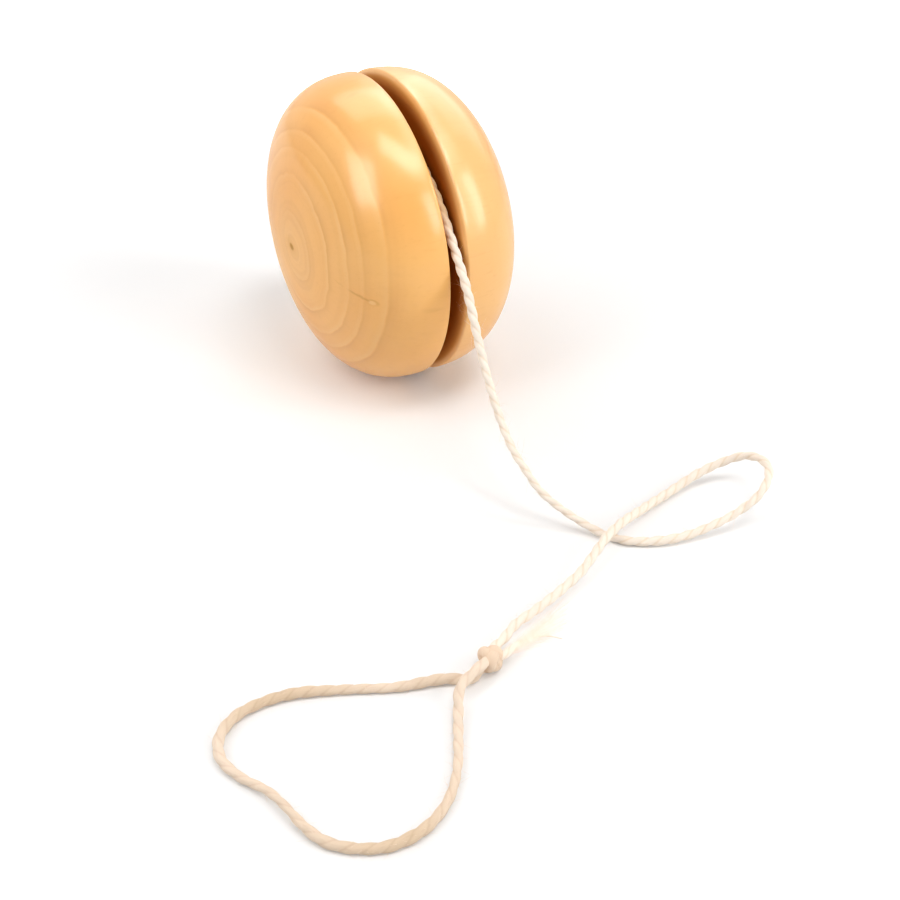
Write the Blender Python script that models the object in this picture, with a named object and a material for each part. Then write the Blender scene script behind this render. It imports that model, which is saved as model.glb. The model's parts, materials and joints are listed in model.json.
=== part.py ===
"""Wooden yo-yo: two turned halves glued on a dowel axle, with a looped cotton string.

The axle runs along Y, the floor is z = 0, and the string leaves the gap towards +X.
Sizes are in metres.
"""

import math

import bmesh
import bpy
import numpy as np

# Turned halves
DIAMETER = 0.055
HALF_THICKNESS = 0.0171
STRING_GAP = 0.0028
CHEEK_LAND_RADIUS = 0.003
LIP_AXIAL = 0.0006
LIP_RADIAL = 0.0020
DOME_AXIAL_POWER = 2.34
DOME_RADIAL_POWER = 2.84

# Dowel axle, glued into a blind bore in each half
AXLE_DIAMETER = 0.008
CHEEK_WALL = 0.0068
AXLE_CHAMFER = 0.0006
GLUE_GAP = 0.0003

# String: one twisted cotton cord
STRING_DIAMETER = 0.0017
JOINT_GAP = 0.0003
WINDING_BELOW_RIM = 0.0060
TURN_GAP = 0.00045
FIRST_TURN_EASE = 0.0005

# Finger knot, a barrel lying along the string
KNOT_LENGTH = 0.0036
KNOT_DIAMETER = 0.0038
KNOT_EDGE_ROUND = 0.0010
KNOT_CENTRE_X = 0.0800
KNOT_CENTRE_Y = -0.0250
KNOT_FLOOR_GAP = 0.00005
KNOT_HEADING_DEG = -71.0
STRAND_CLEARANCE = 0.0003
LOOP_STRAND_TILT_DEG = 70.0

# Mesh fineness
TURNED_SEGMENTS = 48
AXLE_SEGMENTS = 24
KNOT_SEGMENTS = 16
KNOT_EDGE_STATIONS = 3
DOME_STATIONS = 18
LIP_STATIONS = 4
WINDING_POINTS_PER_TURN = 24
WINDING_BEVEL_RESOLUTION = 1
TUBE_BEVEL_RESOLUTION = 2
CURVE_SAMPLES_PER_SPAN = 24
MERGE_DISTANCE = 0.00001

# Lengths derived from the sizes above
RADIUS = DIAMETER / 2
HALF_GAP = STRING_GAP / 2
AXLE_RADIUS = AXLE_DIAMETER / 2
BORE_RADIUS = AXLE_RADIUS + GLUE_GAP
BORE_DEPTH = HALF_THICKNESS - CHEEK_WALL
AXLE_SEAT_DEPTH = BORE_DEPTH - GLUE_GAP
STRING_RADIUS = STRING_DIAMETER / 2
TUBE_POINT_SPACING = 2 * STRING_DIAMETER
TURN_PITCH = STRING_DIAMETER + TURN_GAP
FIRST_TURN_RADIUS = AXLE_RADIUS + JOINT_GAP + STRING_RADIUS
WINDING_DEPTH = RADIUS - WINDING_BELOW_RIM - FIRST_TURN_RADIUS - FIRST_TURN_EASE
WINDING_TURNS = math.floor(WINDING_DEPTH / TURN_PITCH)
WOUND_RADIUS = FIRST_TURN_RADIUS + FIRST_TURN_EASE + TURN_PITCH * WINDING_TURNS
KNOT_RADIUS = KNOT_DIAMETER / 2
STRAND_OFFSET = (STRING_DIAMETER + STRAND_CLEARANCE) / 2
# The yo-yo stands on a flat of its many-sided rim, a little under one radius below the axle
AXLE_HEIGHT = RADIUS * math.cos(math.pi / TURNED_SEGMENTS)

# Colours are linear RGB
WOOD_COLOUR = (0.82, 0.46, 0.19)
AXLE_COLOUR = (0.72, 0.42, 0.19)
COTTON_COLOUR = (0.93, 0.83, 0.68)
WOOD_ROUGHNESS = 0.32
AXLE_ROUGHNESS = 0.55
COTTON_ROUGHNESS = 0.92

# Where the string lifts off the winding, as an angle up from +X and a height over the last turn
LEAD_IN_GAP = [
    (66.0, 0.0007),
    (55.0, 0.0012),
    (43.0, 0.0020),
]

# Route of the free string after the gap, down to the floor, round a small loop and to the knot
LEAD_ROUTE = [
    (0.0196, 0.0000, 0.0407),
    (0.0222, 0.0000, 0.0380),
    (0.0246, 0.0000, 0.0351),
    (0.0269, -0.0001, 0.0326),
    (0.0304, -0.0004, 0.0289),
    (0.0356, -0.0012, 0.0224),
    (0.0405, -0.0021, 0.0177),
    (0.0458, -0.0028, 0.0132),
    (0.0503, -0.0031, 0.0102),
    (0.0536, -0.0027, 0.0082),
    (0.0570, -0.0020, 0.0061),
    (0.0600, -0.0001, 0.0040),
    (0.0625, 0.0021, 0.0022),
    (0.0652, 0.0042, 0.0011),
    (0.0673, 0.0057, 0.0009),
    (0.0692, 0.0075, 0.0009),
    (0.0714, 0.0114, 0.0010),
    (0.0729, 0.0161, 0.0014),
    (0.0739, 0.0211, 0.0026),
    (0.0743, 0.0246, 0.0038),
    (0.0745, 0.0276, 0.0055),
    (0.0734, 0.0304, 0.0069),
    (0.0711, 0.0326, 0.0073),
    (0.0683, 0.0333, 0.0069),
    (0.0656, 0.0327, 0.0058),
    (0.0635, 0.0302, 0.0040),
    (0.0625, 0.0265, 0.0025),
    (0.0629, 0.0201, 0.0013),
    (0.0650, 0.0122, 0.0020),
    (0.0670, 0.0066, 0.0031),
    (0.0687, 0.0027, 0.0033),
    (0.0707, -0.0012, 0.0029),
    (0.0724, -0.0048, 0.0024),
    (0.0739, -0.0095, 0.0021),
    (0.0754, -0.0151, 0.0020),
    (0.0762, -0.0185, 0.0020),
]

# Route of the finger loop round the floor, from the lower strand at the knot to the upper one
LOOP_ROUTE = [
    (0.0792, -0.0318, 0.0010),
    (0.0773, -0.0377, 0.0009),
    (0.0738, -0.0450, 0.0009),
    (0.0714, -0.0508, 0.0009),
    (0.0707, -0.0553, 0.0009),
    (0.0712, -0.0590, 0.0009),
    (0.0733, -0.0619, 0.0009),
    (0.0764, -0.0629, 0.0009),
    (0.0801, -0.0618, 0.0009),
    (0.0841, -0.0595, 0.0012),
    (0.0872, -0.0585, 0.0014),
    (0.0908, -0.0575, 0.0011),
    (0.0938, -0.0561, 0.0009),
    (0.0963, -0.0534, 0.0009),
    (0.0981, -0.0496, 0.0009),
    (0.0981, -0.0450, 0.0009),
    (0.0960, -0.0406, 0.0009),
    (0.0925, -0.0373, 0.0009),
    (0.0885, -0.0349, 0.0009),
    (0.0853, -0.0331, 0.0011),
    (0.0827, -0.0313, 0.0024),
]

# Route of the cut end that stands out of the knot beside the lead
TAIL_ROUTE = [
    (0.0790, -0.0168, 0.0012),
    (0.0798, -0.0149, 0.0010),
    (0.0810, -0.0136, 0.0009),
]


def clear_scene():
    """Remove every object that the file already holds."""
    for item in list(bpy.data.objects):
        bpy.data.objects.remove(item, do_unlink=True)


def make_material(name, colour, roughness):
    """Return a Principled material of one plain colour."""
    material = bpy.data.materials.new(name)
    material.use_nodes = True
    shader = material.node_tree.nodes["Principled BSDF"]
    shader.inputs["Base Color"].default_value = (*colour, 1.0)
    shader.inputs["Roughness"].default_value = roughness
    shader.inputs["Metallic"].default_value = 0.0
    return material


def add_object(name, data, material, parent=None):
    """Put data in the scene as a named object with one material."""
    item = bpy.data.objects.new(name, data)
    bpy.context.scene.collection.objects.link(item)
    data.materials.append(material)
    item.parent = parent
    return item


def turned_object(name, profile, segments, material, parent=None):
    """Turn a profile of (radius, height) points, outer side downwards, about local Z."""
    mesh = bpy.data.meshes.new(name)
    half_step = math.pi / segments
    builder = bmesh.new()
    corners = []
    for radius, height in profile:
        spot = (radius * math.cos(half_step), radius * math.sin(half_step), height)
        corners.append(builder.verts.new(spot))
    for first, second in zip(corners, corners[1:]):
        builder.edges.new((first, second))
    builder.to_mesh(mesh)
    builder.free()
    item = add_object(name, mesh, material, parent)
    screw = item.modifiers.new("Turning", "SCREW")
    screw.axis = "Z"
    screw.angle = math.tau
    screw.steps = segments
    screw.render_steps = segments
    screw.use_merge_vertices = True
    screw.merge_threshold = MERGE_DISTANCE
    screw.use_smooth_shade = True
    return item


def dome_points():
    """Return the outer curve of a half, from the edge of the flat cheek land out to the rim."""
    land_angle = math.acos((CHEEK_LAND_RADIUS / RADIUS) ** (DOME_RADIAL_POWER / 2))
    rise = HALF_THICKNESS - LIP_AXIAL
    points = []
    for station in range(DOME_STATIONS + 1):
        angle = land_angle * (1 - station / DOME_STATIONS)
        radius = RADIUS * math.cos(angle) ** (2 / DOME_RADIAL_POWER)
        height = rise * (math.sin(angle) / math.sin(land_angle)) ** (2 / DOME_AXIAL_POWER)
        points.append((radius, HALF_GAP + LIP_AXIAL + height))
    return points


def lip_points():
    """Return the rounded edge between the rim and the flat inner face."""
    points = []
    for station in range(1, LIP_STATIONS + 1):
        angle = math.pi / 2 * station / LIP_STATIONS
        radius = RADIUS - LIP_RADIAL * (1 - math.cos(angle))
        height = HALF_GAP + LIP_AXIAL * (1 - math.sin(angle))
        points.append((radius, height))
    return points


def half_profile():
    """Return the whole profile of a half, from the middle of its cheek to the end of its bore."""
    bore_end = HALF_GAP + BORE_DEPTH
    cheek = [(0.0, HALF_GAP + HALF_THICKNESS)]
    bore = [(BORE_RADIUS, HALF_GAP), (BORE_RADIUS, bore_end), (0.0, bore_end)]
    return cheek + dome_points() + lip_points() + bore


def build_half(name, quarter_turn, spindle):
    """Turn one half and lay its axis along Y."""
    wood = make_material(name, WOOD_COLOUR, WOOD_ROUGHNESS)
    half = turned_object(name, half_profile(), TURNED_SEGMENTS, wood, spindle)
    half.rotation_euler = (quarter_turn, 0.0, 0.0)


def build_axle(spindle):
    """Turn the dowel, with its chamfered ends, and lay it along Y."""
    half_length = HALF_GAP + AXLE_SEAT_DEPTH
    profile = [
        (0.0, half_length),
        (AXLE_RADIUS - AXLE_CHAMFER, half_length),
        (AXLE_RADIUS, half_length - AXLE_CHAMFER),
        (AXLE_RADIUS, AXLE_CHAMFER - half_length),
        (AXLE_RADIUS - AXLE_CHAMFER, -half_length),
        (0.0, -half_length),
    ]
    wood = make_material("axle", AXLE_COLOUR, AXLE_ROUGHNESS)
    axle = turned_object("axle", profile, AXLE_SEGMENTS, wood, spindle)
    axle.rotation_euler = (math.pi / 2, 0.0, 0.0)


def around_axle(angle, distance):
    """Return the point in the middle of the gap at an angle up from +X."""
    return np.array([distance * math.cos(angle), 0.0, AXLE_HEIGHT + distance * math.sin(angle)])


def winding_points():
    """Return the flat spiral of the wound string, from the axle out to the top of the gap."""
    steps = WINDING_TURNS * WINDING_POINTS_PER_TURN
    spiral = []
    for step in range(steps + 1):
        turns = step / WINDING_POINTS_PER_TURN
        angle = math.pi / 2 + math.tau * (WINDING_TURNS - turns)
        ease = FIRST_TURN_EASE * min(turns, 1.0)
        spiral.append(around_axle(angle, FIRST_TURN_RADIUS + TURN_PITCH * turns + ease))
    inner_end = spiral[0] + np.array([-STRING_DIAMETER, 0.0, 0.0])
    outer_end = spiral[-1] + np.array([STRING_DIAMETER, 0.0, 0.0])
    return [inner_end] + spiral + [outer_end]


def least_gap(points, tube_diameter, neighbours):
    """Return the least gap of a tube to itself, leaving out points that follow one another closely."""
    places = np.array(points)
    apart = np.linalg.norm(places[:, None] - places[None, :], axis=2)
    order = np.arange(len(places))
    close = np.abs(order[:, None] - order[None, :]) < neighbours
    apart[close] = np.inf
    return float(apart.min()) - tube_diameter


def smooth_curve(route):
    """Return points at an even spacing on a smooth curve through the route's own points."""
    places = np.array(route)
    chords = np.linalg.norm(np.diff(places, axis=0), axis=1)
    knots = np.concatenate([[0.0], np.cumsum(np.sqrt(chords))])
    slopes = np.gradient(places, knots, axis=0)
    dense = [places[:1]]
    for index in range(len(places) - 1):
        span = knots[index + 1] - knots[index]
        share = np.linspace(0.0, 1.0, CURVE_SAMPLES_PER_SPAN + 1)[1:, None]
        start_weight = 2 * share**3 - 3 * share**2 + 1
        leave_weight = share**3 - 2 * share**2 + share
        arrive_weight = share**3 - share**2
        dense.append(
            start_weight * places[index]
            + (1 - start_weight) * places[index + 1]
            + span * (leave_weight * slopes[index] + arrive_weight * slopes[index + 1])
        )
    track = np.concatenate(dense)
    travelled = np.concatenate([[0.0], np.cumsum(np.linalg.norm(np.diff(track, axis=0), axis=1))])
    count = round(travelled[-1] / TUBE_POINT_SPACING) + 1
    stops = np.linspace(0.0, travelled[-1], count)
    return np.stack([np.interp(stops, travelled, track[:, axis]) for axis in range(3)], axis=1)


def build_tube(name, points, resolution):
    """Sweep the string's round section along points, with flat ends."""
    curve = bpy.data.curves.new(name, "CURVE")
    curve.dimensions = "3D"
    curve.fill_mode = "FULL"
    curve.bevel_depth = STRING_RADIUS
    curve.bevel_resolution = resolution
    curve.use_fill_caps = True
    spline = curve.splines.new("POLY")
    spline.points.add(len(points) - 1)
    for corner, place in zip(spline.points, points):
        corner.co = (*place, 1.0)
    spline.use_smooth = True
    cotton = make_material(name, COTTON_COLOUR, COTTON_ROUGHNESS)
    add_object(name, curve, cotton)
    travelled = float(np.linalg.norm(np.diff(np.array(points), axis=0), axis=1).sum())
    print(f"{name}: {travelled * 1000:.1f} mm of string")


def knot_axis():
    """Return the unit vector along the knot, from the lead's end to the finger loop's end."""
    heading = math.radians(KNOT_HEADING_DEG)
    return np.array([math.cos(heading), math.sin(heading), 0.0])


def knot_side():
    """Return the unit vector across the knot, level with the floor."""
    along = knot_axis()
    return np.array([-along[1], along[0], 0.0])


def knot_centre():
    """Return the middle of the knot, just clear of the floor."""
    return np.array([KNOT_CENTRE_X, KNOT_CENTRE_Y, KNOT_RADIUS + KNOT_FLOOR_GAP])


def strand_stub(end_sign, offset):
    """Return two points of a strand that leaves one end face of the knot square to it."""
    along = knot_axis() * end_sign
    face = knot_centre() + along * (KNOT_LENGTH / 2 + JOINT_GAP) + offset
    return [face, face + along * STRING_DIAMETER]


def build_winding():
    """Wind the hidden string round the axle and print its least gap to itself."""
    points = winding_points()
    gap = least_gap(points, STRING_DIAMETER, WINDING_POINTS_PER_TURN // 2)
    print(f"string_winding: least gap to itself {gap * 1000:.2f} mm")
    build_tube("string_winding", points, WINDING_BEVEL_RESOLUTION)


def build_lead():
    """Lay the free string from the winding's outer end to the knot."""
    wound_end = winding_points()[-1]
    start = wound_end + np.array([JOINT_GAP, 0.0, 0.0])
    straight = start + np.array([STRING_DIAMETER, 0.0, 0.0])
    in_gap = [around_axle(math.radians(angle), WOUND_RADIUS + lift) for angle, lift in LEAD_IN_GAP]
    arrival = strand_stub(-1.0, -STRAND_OFFSET * knot_side())[::-1]
    points = smooth_curve([start, straight] + in_gap + LEAD_ROUTE + arrival)
    build_tube("string_lead", points, TUBE_BEVEL_RESOLUTION)


def build_knot():
    """Turn the finger knot as a barrel with rounded edges and lay it along the string."""
    half_length = KNOT_LENGTH / 2
    upper_edge = []
    for station in range(KNOT_EDGE_STATIONS + 1):
        angle = math.pi / 2 * station / KNOT_EDGE_STATIONS
        radius = KNOT_RADIUS - KNOT_EDGE_ROUND * (1 - math.sin(angle))
        height = half_length - KNOT_EDGE_ROUND * (1 - math.cos(angle))
        upper_edge.append((radius, height))
    lower_edge = [(radius, -height) for radius, height in reversed(upper_edge)]
    profile = [(0.0, half_length)] + upper_edge + lower_edge + [(0.0, -half_length)]
    cotton = make_material("finger_knot", COTTON_COLOUR, COTTON_ROUGHNESS)
    knot = turned_object("finger_knot", profile, KNOT_SEGMENTS, cotton)
    knot.location = knot_centre()
    knot.rotation_euler = (0.0, math.pi / 2, math.radians(KNOT_HEADING_DEG))


def build_finger_loop():
    """Lay the finger loop, whose two strands leave the knot one above the other."""
    tilt = math.radians(LOOP_STRAND_TILT_DEG)
    apart = math.cos(tilt) * knot_side() + math.sin(tilt) * np.array([0.0, 0.0, 1.0])
    lower = strand_stub(1.0, -STRAND_OFFSET * apart)
    upper = strand_stub(1.0, STRAND_OFFSET * apart)[::-1]
    points = smooth_curve(lower + LOOP_ROUTE + upper)
    build_tube("finger_loop", points, TUBE_BEVEL_RESOLUTION)


def build_tail():
    """Lay the short cut end that stands out of the knot beside the lead."""
    points = smooth_curve(strand_stub(-1.0, STRAND_OFFSET * knot_side()) + TAIL_ROUTE)
    build_tube("string_tail", points, TUBE_BEVEL_RESOLUTION)


def main():
    """Build every piece in its place."""
    clear_scene()
    spindle = bpy.data.objects.new("spindle", None)
    bpy.context.scene.collection.objects.link(spindle)
    spindle.location = (0.0, 0.0, AXLE_HEIGHT)
    build_half("left_half", math.pi / 2, spindle)
    build_half("right_half", -math.pi / 2, spindle)
    build_axle(spindle)
    build_winding()
    build_lead()
    build_knot()
    build_finger_loop()
    build_tail()


main()
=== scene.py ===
"""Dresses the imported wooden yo-yo: lacquered turned halves, a twisted cotton string and a studio.

Sizes are in metres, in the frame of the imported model: the axle runs along Y, the floor is z = 0,
and the string leaves the gap towards +X.
"""

import json
import logging
import math
import random
from dataclasses import dataclass, field, replace
from enum import Enum
from typing import Any, ClassVar

import bmesh
import bpy
import numpy as np
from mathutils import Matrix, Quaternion, Vector, noise


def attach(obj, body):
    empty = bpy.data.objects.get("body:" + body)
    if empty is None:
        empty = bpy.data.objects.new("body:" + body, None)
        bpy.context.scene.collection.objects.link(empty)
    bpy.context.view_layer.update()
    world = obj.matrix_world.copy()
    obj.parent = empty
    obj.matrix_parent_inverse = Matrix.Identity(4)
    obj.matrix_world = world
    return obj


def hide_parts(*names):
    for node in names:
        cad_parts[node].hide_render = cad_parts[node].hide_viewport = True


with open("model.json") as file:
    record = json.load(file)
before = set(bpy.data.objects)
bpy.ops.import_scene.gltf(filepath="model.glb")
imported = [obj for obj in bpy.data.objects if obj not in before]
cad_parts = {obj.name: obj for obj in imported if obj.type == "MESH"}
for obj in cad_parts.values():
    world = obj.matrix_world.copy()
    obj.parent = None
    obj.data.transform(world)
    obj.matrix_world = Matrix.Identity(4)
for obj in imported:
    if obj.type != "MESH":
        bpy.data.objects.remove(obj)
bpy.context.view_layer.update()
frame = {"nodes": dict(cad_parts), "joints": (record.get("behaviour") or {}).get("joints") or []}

LOG = logging.getLogger("yoyo")
AHEAD = np.array([1.0, 0.0, 0.0])
UP = np.array([0.0, 0.0, 1.0])

Colour = tuple[float, float, float, float]
Spot = tuple[float, float, float]
Span = tuple[float, float]
Stations = tuple[Span, ...]

WHITE: Colour = (1.0, 1.0, 1.0, 1.0)


class Side(Enum):
    """The two turned halves, by the way their cheek faces along Y."""

    LEFT = -1
    RIGHT = 1


class Body(Enum):
    """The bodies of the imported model."""

    SPOOL = "spool"
    STRING = "string"


class Role(Enum):
    """What a lamp does: light and shine in the lacquer, light alone, or shine alone."""

    SOFTBOX = "softbox"
    FILL = "fill"
    CARD = "card"


def linear(red: int, green: int, blue: int) -> Colour:
    """Return a screen colour as linear light.

    Args:
        red: Red from 0 to 255.
        green: Green from 0 to 255.
        blue: Blue from 0 to 255.

    Returns:
        Linear red, green and blue, and an alpha of one.
    """
    channels = [level / 255 for level in (red, green, blue)]
    light = [c / 12.92 if c <= 0.04045 else ((c + 0.055) / 1.055) ** 2.4 for c in channels]
    return (light[0], light[1], light[2], 1.0)


def grey(level: float) -> Colour:
    """Return an even grey, for a ramp that carries a value."""
    return (level, level, level, 1.0)


def unit(direction: np.ndarray) -> np.ndarray:
    """Return a direction, or a list of directions, at length one."""
    return direction / np.linalg.norm(direction, axis=-1, keepdims=True)


def length_of(line: np.ndarray) -> float:
    """Return how long a line of points is."""
    return float(np.linalg.norm(np.diff(line, axis=0), axis=1).sum())


def lengths_along(line: np.ndarray) -> np.ndarray:
    """Return how long a line is up to each of its points."""
    steps = np.linalg.norm(np.diff(line, axis=0), axis=1)
    return np.concatenate([[0.0], np.cumsum(steps)])


class Wire:
    """An output socket, whose arithmetic adds Math nodes to its tree."""

    def __init__(self, bench: "Bench", socket: bpy.types.NodeSocket) -> None:
        """Keep the socket and the bench that it is on."""
        self.bench = bench
        self.socket = socket

    def maths(self, operation: str, *values: "Wire | float") -> "Wire":
        """Add one Math node.

        Args:
            operation: The node's operation.
            *values: Its inputs, in order.

        Returns:
            The node's output.
        """
        return self.bench.add("ShaderNodeMath", {"operation": operation}, dict(enumerate(values)))

    def __add__(self, other: "Wire | float") -> "Wire":
        """Add a value."""
        return self.maths("ADD", self, other)

    def __radd__(self, other: float) -> "Wire":
        """Add to a number."""
        return self.maths("ADD", other, self)

    def __sub__(self, other: "Wire | float") -> "Wire":
        """Take a value away."""
        return self.maths("SUBTRACT", self, other)

    def __rsub__(self, other: float) -> "Wire":
        """Take from a number."""
        return self.maths("SUBTRACT", other, self)

    def __mul__(self, other: "Wire | float") -> "Wire":
        """Multiply by a value."""
        return self.maths("MULTIPLY", self, other)

    def __rmul__(self, other: float) -> "Wire":
        """Multiply a number."""
        return self.maths("MULTIPLY", other, self)

    def __truediv__(self, other: "Wire | float") -> "Wire":
        """Divide by a value."""
        return self.maths("DIVIDE", self, other)

    def __rtruediv__(self, other: float) -> "Wire":
        """Divide a number."""
        return self.maths("DIVIDE", other, self)

    def __pow__(self, power: float) -> "Wire":
        """Raise to a power."""
        return self.maths("POWER", self, power)

    def __abs__(self) -> "Wire":
        """Drop the sign."""
        return self.maths("ABSOLUTE", self)

    def at_most(self, limit: "Wire | float") -> "Wire":
        """Hold the value down to a limit."""
        return self.maths("MINIMUM", self, limit)

    def at_least(self, limit: "Wire | float") -> "Wire":
        """Hold the value up to a limit."""
        return self.maths("MAXIMUM", self, limit)

    def fraction(self) -> "Wire":
        """Keep what is after the point."""
        return self.maths("FRACT", self)

    def rise(self, low: "Wire | float", high: "Wire | float") -> "Wire":
        """Ease from 0 to 1 between two levels.

        Args:
            low: The level where the result leaves 0.
            high: The level where it reaches 1.

        Returns:
            The eased value.
        """
        sockets = {"Value": self, "From Min": low, "From Max": high}
        return self.bench.add("ShaderNodeMapRange", {"interpolation_type": "SMOOTHSTEP"}, sockets)


class Bench:
    """The node tree of a material or a world, put together node by node."""

    MIX_COLOURS = (6, 7)
    MIX_RESULT = 2

    def __init__(self, owner: bpy.types.Material | bpy.types.World) -> None:
        """Start with nothing in the owner's tree but its output.

        Args:
            owner: The material or world whose tree it is.
        """
        owner.use_nodes = True
        self.owner = owner
        self.tree = owner.node_tree
        for node in list(self.tree.nodes):
            if not node.bl_idname.startswith("ShaderNodeOutput"):
                self.tree.nodes.remove(node)
        self.end = self.tree.nodes[0]

    @classmethod
    def for_material(cls, name: str) -> "Bench":
        """Return the bench of a new material of that name."""
        return cls(bpy.data.materials.new(name))

    def add(
        self,
        kind: str,
        settings: dict[str, Any] | None = None,
        sockets: dict[str | int, Any] | None = None,
        output: str | int = 0,
    ) -> Wire:
        """Add any node.

        Args:
            kind: The node's type.
            settings: Its properties, set first; stops fills a colour ramp.
            sockets: Values or wires for its inputs, by name or number.
            output: The output to return, by name or number.

        Returns:
            The wire from that output.
        """
        node = self.tree.nodes.new(kind)
        for key, value in (settings or {}).items():
            if key == "stops":
                self.fill_ramp(node.color_ramp, value)
            else:
                setattr(node, key, value)
        for key, value in (sockets or {}).items():
            if isinstance(value, Wire):
                self.tree.links.new(value.socket, node.inputs[key])
            else:
                node.inputs[key].default_value = value
        return Wire(self, node.outputs[output])

    @staticmethod
    def fill_ramp(ramp: bpy.types.ColorRamp, stops: list[tuple[float, Colour]]) -> None:
        """Put stops of place and colour on a ramp.

        Args:
            ramp: The node's ramp.
            stops: Places from 0 to 1 in rising order, each with its colour.
        """
        while len(ramp.elements) < len(stops):
            ramp.elements.new(1.0)
        for element, (place, colour) in zip(ramp.elements, stops):
            element.position = place
            element.color = colour

    def place(self) -> tuple[Wire, Wire, Wire]:
        """Return x, y and z of the piece's own coordinates."""
        spot = self.add("ShaderNodeTexCoord", output="Object")
        return self.split(spot)

    def split(self, vector: Wire) -> tuple[Wire, Wire, Wire]:
        """Return the three parts of a vector."""
        parts = self.add("ShaderNodeSeparateXYZ", None, {"Vector": vector}).socket.node
        return tuple(Wire(self, socket) for socket in parts.outputs)

    def vector(self, x: Wire | float, y: Wire | float, z: Wire | float) -> Wire:
        """Return a vector of three values."""
        return self.add("ShaderNodeCombineXYZ", None, {"X": x, "Y": y, "Z": z})

    def noise(self, vector: Wire, scale: float, detail: float = 2.0) -> Wire:
        """Return soft noise about 0.5.

        Args:
            vector: Where it is looked up.
            scale: Cells to the unit.
            detail: How many finer layers it has.

        Returns:
            The noise, from 0 to 1.
        """
        sockets = {"Vector": vector, "Scale": scale, "Detail": detail}
        return self.add("ShaderNodeTexNoise", None, sockets, "Fac")

    def ramp(self, place: Wire, stations: Stations) -> Wire:
        """Return a value that runs through stations.

        Args:
            place: Where it is looked up, from 0 to 1.
            stations: Pairs of (place, level), in rising order.

        Returns:
            The level at that place.
        """
        stops = [(spot, grey(level)) for spot, level in stations]
        return self.add("ShaderNodeValToRGB", {"stops": stops}, {"Fac": place})

    def mix(self, share: Wire | float, first: Wire | Colour, second: Wire | Colour) -> Wire:
        """Blend two colours.

        Args:
            share: How much of the second colour shows.
            first: The colour at 0.
            second: The colour at 1.

        Returns:
            The blended colour.
        """
        low, high = self.MIX_COLOURS
        sockets = {"Factor": share, low: first, high: second}
        return self.add("ShaderNodeMix", {"data_type": "RGBA"}, sockets, self.MIX_RESULT)

    def bump(self, height: Wire, depth: float, strength: float) -> Wire:
        """Return normals of a fine relief.

        Args:
            height: The relief, from 0 to 1.
            depth: How deep 1 is.
            strength: How much of it is felt.

        Returns:
            The normals.
        """
        sockets = {"Height": height, "Distance": depth, "Strength": strength}
        return self.add("ShaderNodeBump", None, sockets)

    def finish(self, sockets: dict[str, Any]) -> bpy.types.Material:
        """Close the tree with a Principled shader.

        Args:
            sockets: Values or wires for the shader's inputs.

        Returns:
            The material.
        """
        return self.show(self.add("ShaderNodeBsdfPrincipled", None, sockets))

    def show(self, shader: Wire) -> bpy.types.Material | bpy.types.World:
        """Lead a shader to the tree's output.

        Args:
            shader: The shader to show.

        Returns:
            The material or world that owns the tree.
        """
        self.tree.links.new(shader.socket, self.end.inputs["Surface"])
        return self.owner


@dataclass(frozen=True)
class Layer:
    """One layer of noise in a finish, and how it shows in the colour."""

    cells: float
    detail: float
    span: Span
    share: float = 1.0

    def noise(self, bench: Bench, spot: Wire) -> Wire:
        """Return the layer's noise, about 0.5."""
        return bench.noise(spot, self.cells, self.detail)

    def shown(self, level: Wire) -> Wire:
        """Return how much of the layer's colour shows at a level of its noise."""
        return level.rise(*self.span) * self.share


@dataclass(frozen=True)
class PinKnot:
    """A thin broken check in the end grain that runs out to a small pin knot.

    Places are (x, height over the axle).
    """

    start: Span = (0.0146, 0.0006)
    end: Span = (0.0222, -0.0013)
    half_width: float = 0.00052
    thin_share: float = 0.45
    wander: float = 0.0017
    check_start: Span = (-0.05, 0.12)
    check_end: Span = (0.90, 1.0)
    faint: float = 0.45
    faint_end: Span = (0.15, 0.38)
    clear_start: Span = (0.36, 0.58)
    eye_radius: float = 0.00066
    eye_squash: float = 0.45
    eye_edge: Span = (0.3, 0.7)
    rim_start: Span = (0.35, 0.75)
    rim_end: Span = (0.8, 1.25)
    rim_slant: float = 0.6
    rim_dark_side: Span = (-0.4, 0.9)
    rim_least: float = 0.15
    rim_gain: float = 0.6

    def mask(self, x: Wire, z: Wire, ripple: Wire) -> tuple[Wire, Wire]:
        """Return where the check and its pin knot show.

        Args:
            x: Sideways place.
            z: Height over the axle.
            ripple: Noise that keeps the line from being straight.

        Returns:
            The dark line with the rim of the eye, and the pale middle of the eye.
        """
        (x0, z0), (x1, z1) = self.start, self.end
        length = math.hypot(x1 - x0, z1 - z0)
        run_x, run_z = (x1 - x0) / length, (z1 - z0) / length
        share = ((x - x0) * run_x + (z - z0) * run_z) / length
        across = abs((z - z0) * run_x - (x - x0) * run_z + ripple * self.wander)
        swell = share.at_least(0.0).at_most(1.0)
        width = self.half_width * (self.thin_share + (1 - self.thin_share) * swell)
        broken = self.faint * (1 - share.rise(*self.faint_end)) + share.rise(*self.clear_start)
        line = (1 - across.rise(0.0, width)) * share.rise(*self.check_start) * broken
        line = line * (1 - share.rise(*self.check_end))
        reach_x, reach_z = x - x1, z - z1
        reach = (reach_x * reach_x * self.eye_squash + reach_z * reach_z) ** 0.5 / self.eye_radius
        rim = reach.rise(*self.rim_start) * (1 - reach.rise(*self.rim_end))
        dark = ((reach_x * self.rim_slant + reach_z) / self.eye_radius).rise(*self.rim_dark_side)
        line = line.at_least(rim * (self.rim_least + self.rim_gain * dark))
        return line, 1 - reach.rise(*self.eye_edge)


@dataclass(frozen=True)
class WoodPlace:
    """A point of the wood, as the wires that its pattern reads."""

    x: Wire
    y: Wire
    z: Wire
    radius: Wire
    solid: Wire
    wander: Wire
    ripple: Wire


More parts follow.
